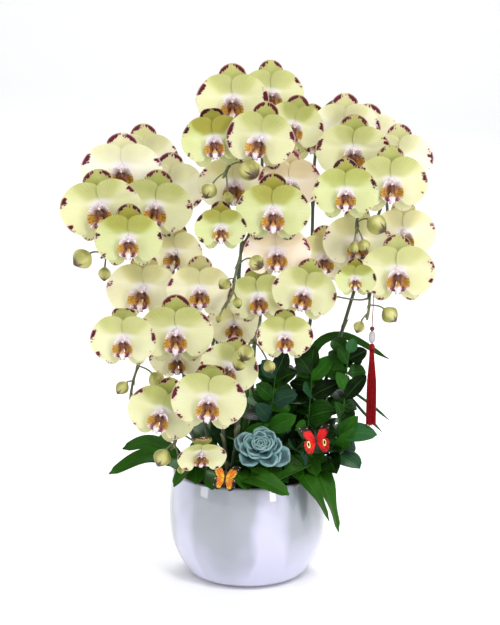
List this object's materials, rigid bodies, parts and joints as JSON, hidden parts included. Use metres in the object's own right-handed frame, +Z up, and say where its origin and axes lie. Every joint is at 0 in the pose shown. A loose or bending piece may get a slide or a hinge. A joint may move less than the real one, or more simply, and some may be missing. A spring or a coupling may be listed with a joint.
{
  "type": "potted moth orchid",
  "caption": "Arching sprays of pale yellow, maroon-blotched moth orchid blooms in a round white glazed pot, with an echeveria, leafy sprigs, butterfly picks and a hanging tassel.",
  "frame": {"origin": "centre of the pot's flat base", "axes": "+Z up, blooms face -Y, +X to the right seen from the front"},
  "size_m": [0.5107, 0.3652, 0.7244],
  "materials": {
    "petal": "satin",
    "pale_petal": "satin",
    "green_petal": "satin",
    "plant": "satin",
    "glaze": "gloss",
    "bark": "matte",
    "succulent": "matte",
    "foliage": "satin",
    "orange_wing": "satin",
    "red_wing": "satin",
    "thread": "satin",
    "bead": "polished"
  },
  "bodies": {
    "root": {"bloom_1_1": "pale_petal", "bloom_1_2": "pale_petal", "bloom_1_3": "pale_petal", "bloom_1_4": "petal", "bloom_1_5": "petal", "bloom_1_6": "green_petal", "bloom_2_1": "pale_petal", "bloom_2_2": "pale_petal", "bloom_2_3": "pale_petal", "bloom_2_4": "petal", "bloom_2_5": "petal", "bloom_2_6": "pale_petal", "bloom_3_1": "petal", "bloom_3_2": "petal", "bloom_3_3": "green_petal", "bloom_3_4": "petal", "bloom_4_1": "pale_petal", "bloom_4_2": "green_petal", "bloom_4_3": "pale_petal", "bloom_4_4": "green_petal", "bloom_4_5": "pale_petal", "bloom_5_1": "petal", "bloom_5_2": "petal", "bloom_5_3": "pale_petal", "bloom_5_4": "pale_petal", "bloom_5_5": "pale_petal", "bloom_5_6": "petal", "bloom_5_7": "petal", "bloom_5_8": "green_petal", "bloom_6_1": "pale_petal", "bloom_6_2": "pale_petal", "bloom_6_3": "petal", "bloom_6_4": "pale_petal", "bloom_6_5": "petal", "bloom_6_6": "green_petal", "bloom_7_1": "petal", "bloom_7_2": "petal", "bloom_7_3": "pale_petal", "bloom_7_4": "petal", "bloom_7_5": "petal", "bloom_7_6": "petal", "bloom_7_7": "petal", "plant_1": "plant", "plant_2": "plant", "plant_3": "plant", "plant_4": "plant", "plant_5": "plant", "plant_6": "plant", "plant_7": "plant", "pot": "glaze", "growing_medium": "bark", "echeveria": "succulent", "sprig_left": "foliage", "sprig_middle": "foliage", "sprig_right": "foliage", "butterfly_orange": "orange_wing", "butterfly_red": "red_wing", "tassel_cord": "thread", "tassel_bead": "bead", "tassel_skirt": "thread"}
  },
  "joints": []
}
